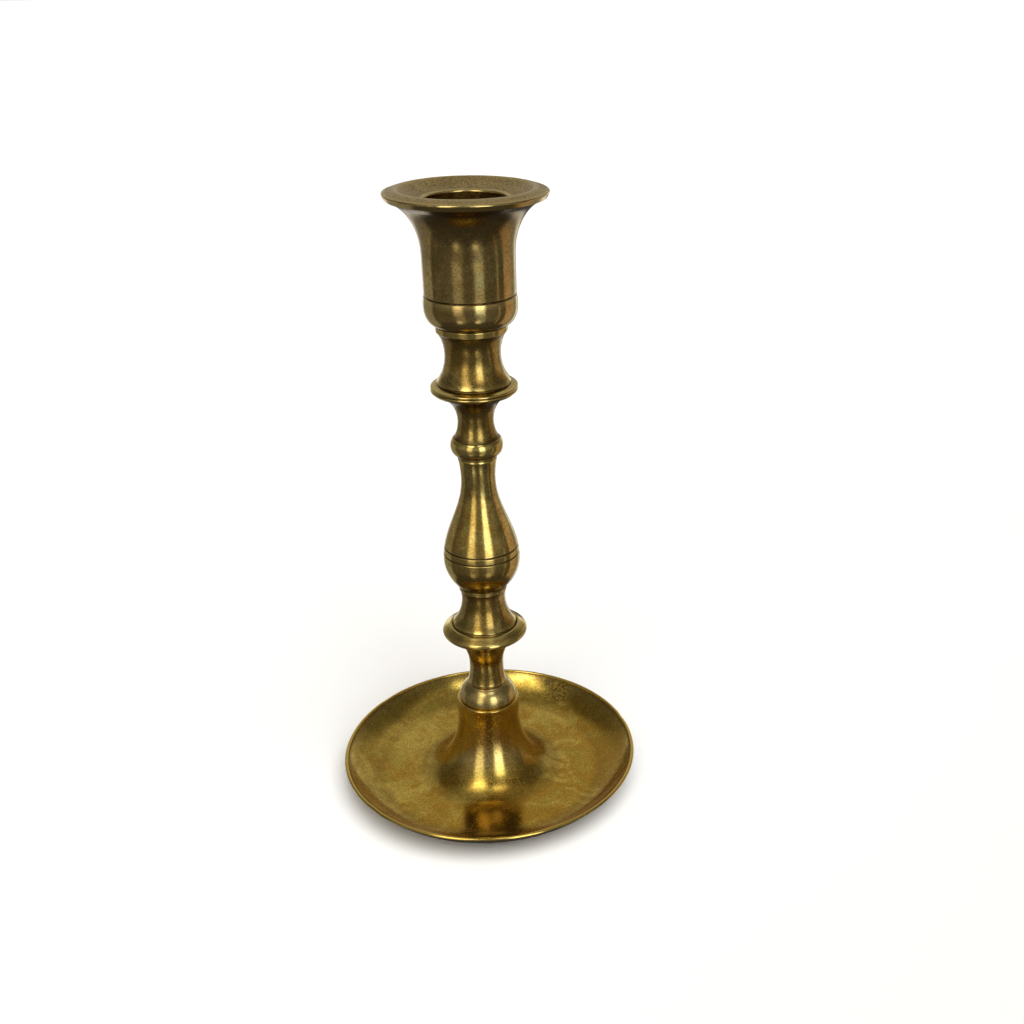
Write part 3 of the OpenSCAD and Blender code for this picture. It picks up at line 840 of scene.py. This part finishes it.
# ---------------------------------------------------------------- the object
# Each piece, the node it replaces, and its material
PIECES = [
    (turned("saucer_foot", saucer_outline(), saucer_shape, saucer_finish, SAUCER_AROUND),
     "saucer_base", "foot_brass"),
    (turned("collar_dome", collar_outline(), polished_wobble(2, 0.03)), "domed_collar", "collar_brass"),
    (turned("knop_lower", lower_knop_outline(), polished_wobble(3)), "lower_knop", "stem_brass"),
    (turned("baluster_stem", baluster_outline(), polished_wobble(4)), "baluster", "stem_brass"),
    (turned("knop_upper", upper_knop_outline(), polished_wobble(5)), "upper_knop", "stem_brass"),
    (turned("cup_neck", neck_outline(), polished_wobble(6)), "neck", "stem_brass"),
    (turned("cup_and_rim", cup_outline(), cup_shape, cup_finish), "candle_cup", "cup_brass"),
    (threaded_rod(), "tie_rod", "rod_steel"),
    (turned("washer_upper", plate_outline("cup_washer"), around=SMALL_AROUND), "cup_washer", "fixing_brass"),
    (slotted_nut(), "cup_nut", "fixing_brass"),
    (turned("washer_lower", plate_outline("base_washer"), around=SMALL_AROUND),
     "base_washer", "fixing_steel"),
    (spring_washer(), "lock_washer", "fixing_steel"),
    (hexagon_nut(), "base_nut", "fixing_steel"),
]
for piece, node, slot in PIECES:
    piece.data.materials.clear()
    piece.data.materials.append(MATERIALS[slot])
    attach(piece, "root")
    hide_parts(node)
for cad in frame["nodes"].values():
    cad.data.materials.clear()
    cad.data.materials.append(MATERIALS["fixing_steel"])

# ---------------------------------------------------------------- floor and backdrop
# The floor reaches past the photograph's view, and the backdrop closes off views from lower down.
# Only the camera sees the backdrop, and the brass doesn't mirror the floor: it mirrors the studio.
FLOOR_R = 9.0
DOME_R = FLOOR_R * 0.99
FLOOR_GREY, FLOOR_CLOUD, BACKDROP_GREY = 0.86, 0.985, 0.87


def disc(name, radius, around=96):
    """A flat round plate at the height of the object's foot."""
    verts = [(0.0, 0.0, 0.0)]
    verts += [(radius * math.cos(2 * math.pi * i / around), radius * math.sin(2 * math.pi * i / around), 0.0)
              for i in range(around)]
    faces = [(0, i + 1, (i + 1) % around + 1) for i in range(around)]
    mesh = bpy.data.meshes.new(name)
    mesh.from_pydata(verts, [], faces)
    return new_object(name, mesh)


floor = disc("floor", FLOOR_R)
material, g = blank_material("pale_floor")
p = shifted_mm(g, 0.0, (0.0, 0.0, 0.0))[1]
shade = g.ramp(g.noise(p, 0.004, 2.0, 0.5), 0.2, 0.8)
paper = g.mix(shade, colour([FLOOR_GREY] * 3), colour([FLOOR_GREY * FLOOR_CLOUD] * 3))
shader = g.add("ShaderNodeBsdfDiffuse", {"Color": paper, "Roughness": 1.0})
g.add("ShaderNodeOutputMaterial", {"Surface": shader})
floor.data.materials.append(material)
floor.visible_glossy = False
floor.visible_shadow = False

made = bmesh.new()
bmesh.ops.create_uvsphere(made, u_segments=48, v_segments=24, radius=DOME_R)
bmesh.ops.reverse_faces(made, faces=made.faces)
dome = new_object("backdrop", bpy.data.meshes.new("backdrop"))
made.to_mesh(dome.data)
made.free()
material, g = blank_material("pale_backdrop")
glow = g.add("ShaderNodeEmission", {"Color": colour([BACKDROP_GREY] * 3)})
g.add("ShaderNodeOutputMaterial", {"Surface": glow})
dome.data.materials.append(material)
for kind in ("glossy", "diffuse", "shadow", "transmission", "volume_scatter"):
    setattr(dome, "visible_" + kind, False)

# ---------------------------------------------------------------- light
# The studio is drawn on the world, and the brass reflects it: a tall light panel on either side of
# the camera, a pale ceiling, a pale wall and a lit table behind. Azimuth is 0 towards the camera's
# side and grows to the right, height is above the horizon, and both are in degrees.
DEGREES = 180 / math.pi
scene = bpy.context.scene
world = bpy.data.worlds.new("studio")
world.use_nodes = True
world.node_tree.nodes.clear()
scene.world = world
g = Graph(world.node_tree)
x, y, z = g.separate(g.add("ShaderNodeTexCoord", out="Generated"))
azimuth = g.math("MULTIPLY", g.math("ARCTAN2", x, g.math("MULTIPLY", y, -1.0)), DEGREES)
height = g.math("MULTIPLY", g.math("ARCSINE", z), DEGREES)
side = g.math("ABSOLUTE", azimuth)


def both(a, b):
    return g.math("MULTIPLY", a, b)


def window(value, low, high, soft):
    """1 between low and high, falling smoothly to 0 within soft outside them."""
    return both(g.ramp(value, low - soft, low), g.ramp(value, high + soft, high))


def panel(centre, half, soft, spread, low_centre, low_half, high_centre, gain_from, gain):
    """A tall panel of light in front, which widens overhead and spreads into a dim pool near the floor."""
    foot, waist, crown = (-26, -4), (35, 75), (48, 62)
    to_high = g.ramp(height, *crown, 0.0, high_centre - centre)
    middle = g.math("ADD", g.ramp(height, *foot, low_centre, centre), to_high)
    off = g.math("ABSOLUTE", g.math("SUBTRACT", azimuth, middle))
    to_low = g.ramp(height, *foot, low_half - half, 0.0)
    wide = g.math("ADD", g.ramp(height, *waist, half, half + spread), to_low)
    across = g.ramp(off, g.math("ADD", wide, g.ramp(height, *foot, 8.0, soft)), wide)
    up = g.math("ADD", g.ramp(height, -46, -34, 0.0, 0.10), g.ramp(height, -17, 8, 0.0, 0.92))
    boost = g.math("MULTIPLY_ADD", window(height, gain_from, 54, 6), gain, 1.0)
    return both(across, both(up, both(g.ramp(height, 77, 58), boost)))


def spot(at_azimuth, at_height, size):
    """A round soft patch of light, its size in degrees."""
    flat = g.math("MULTIPLY", g.math("SUBTRACT", azimuth, at_azimuth), math.cos(math.radians(at_height)))
    off = g.vector("LENGTH", g.combine(flat, g.math("SUBTRACT", height, at_height), 0.0))
    return g.ramp(off, size, 0.35 * size)


left_panel = panel(centre=-27.0, half=6.0, soft=9.0, spread=20.0, low_centre=-20.0, low_half=9.0,
                   high_centre=-40.0, gain_from=46.0, gain=1.5)
right_panel = panel(centre=27.0, half=8.0, soft=6.5, spread=10.0, low_centre=29.0, low_half=7.0,
                    high_centre=26.0, gain_from=36.0, gain=-0.88)
# Each light: where it is, its colour and its strength
LIGHTS = [
    # the whole room, the table in front, and the walls up to the ceiling
    (1.0, (1.0, 0.90, 0.78), 0.065),
    (both(window(side, 0, 80, 25), window(height, -34, 4, 6)), (1.0, 0.92, 0.84), 0.045),
    (window(height, -2, 60, 10), (1.0, 0.96, 0.88), 0.04),
    # the ceiling, brighter straight above
    (window(height, 62, 76, 13), (1.0, 0.95, 0.84), 0.17),
    (g.ramp(height, 72, 82), (1.0, 0.97, 0.84), 0.15),
    # the wall behind, and the table behind with a bright patch on either side
    (both(g.ramp(side, 120, 150), window(height, 4, 53, 6)), (1.0, 0.95, 0.84), 0.28),
    (both(both(g.ramp(side, 96, 101), g.ramp(side, 172, 160)), window(height, -44, 2, 5)),
     (1.0, 0.96, 0.9), 0.2),
    (both(both(g.ramp(side, 142, 156), g.ramp(side, 170, 162)), window(height, -40, 2, 5)),
     (1.0, 0.99, 0.97), 0.7),
    # low on the right, something orange and a thin pale edge
    (both(window(azimuth, 97, 128, 2), window(height, -46, 12, 6)), (1.0, 0.42, 0.03), 0.15),
    (both(window(azimuth, 76, 78.5, 1.5), window(height, -42, -6, 6)), (1.0, 0.85, 0.6), 0.25),
    # the space between the panels, the panels, and their pools on the table
    (both(window(side, 0, 60, 25), window(height, 6, 38, 10)), (1.0, 0.95, 0.8), 0.12),
    (left_panel, (1.0, 0.93, 0.78), 1.2),
    (right_panel, (1.0, 1.01, 0.98), 2.2),
    (spot(-26.0, -37.0, 9.0), (1.0, 0.93, 0.8), 0.5),
    (spot(23.0, -37.0, 9.0), (1.0, 0.95, 0.84), 0.6),
]
total = (0.0, 0.0, 0.0)
for share, rgb, strength in LIGHTS:
    total = g.vector("ADD", total, g.vector("SCALE", tuple(c * strength for c in rgb), scale=share))
g.add("ShaderNodeOutputWorld", {"Surface": g.add("ShaderNodeBackground", {"Color": total, "Strength": 1.0})})

# A broad soft sun lights the floor evenly and gives the shadow; the brass doesn't mirror it.
data = bpy.data.lights.new("soft_top_light", "SUN")
data.energy = 2.35
data.angle = math.radians(50)
sun = new_object("soft_top_light", data)
sun.rotation_euler = (math.radians(22), math.radians(14), 0)
sun.visible_glossy = False
sun.visible_camera = False

# ---------------------------------------------------------------- camera
CAMERA_AT = Vector((0.0243, -0.3046, 0.2287))
PITCH, ROLL = math.radians(28.28), math.radians(-0.39)
SENSOR_MM, LENS_MM, SHIFT = 36.0, 41.41, (-0.0528, 0.0771)
forward = Vector((0.0, math.cos(PITCH), -math.sin(PITCH)))
up = Vector((0.0, math.sin(PITCH), math.cos(PITCH)))
right = Vector((1.0, 0.0, 0.0))
turned_right = right * math.cos(ROLL) + up * math.sin(ROLL)
turned_up = up * math.cos(ROLL) - right * math.sin(ROLL)
lens = bpy.data.cameras.new("camera")
lens.sensor_width = SENSOR_MM
lens.lens = LENS_MM
lens.shift_x, lens.shift_y = SHIFT
lens.clip_start = 0.01
lens.clip_end = 60.0
camera = new_object("camera", lens)
facing = Matrix((turned_right, turned_up, -forward)).transposed().to_4x4()
camera.matrix_world = Matrix.Translation(CAMERA_AT) @ facing
scene.camera = camera
scene.view_settings.view_transform = "Standard"
scene.view_settings.look = "None"
scene.view_settings.exposure = 0.0
scene.view_settings.gamma = 1.0
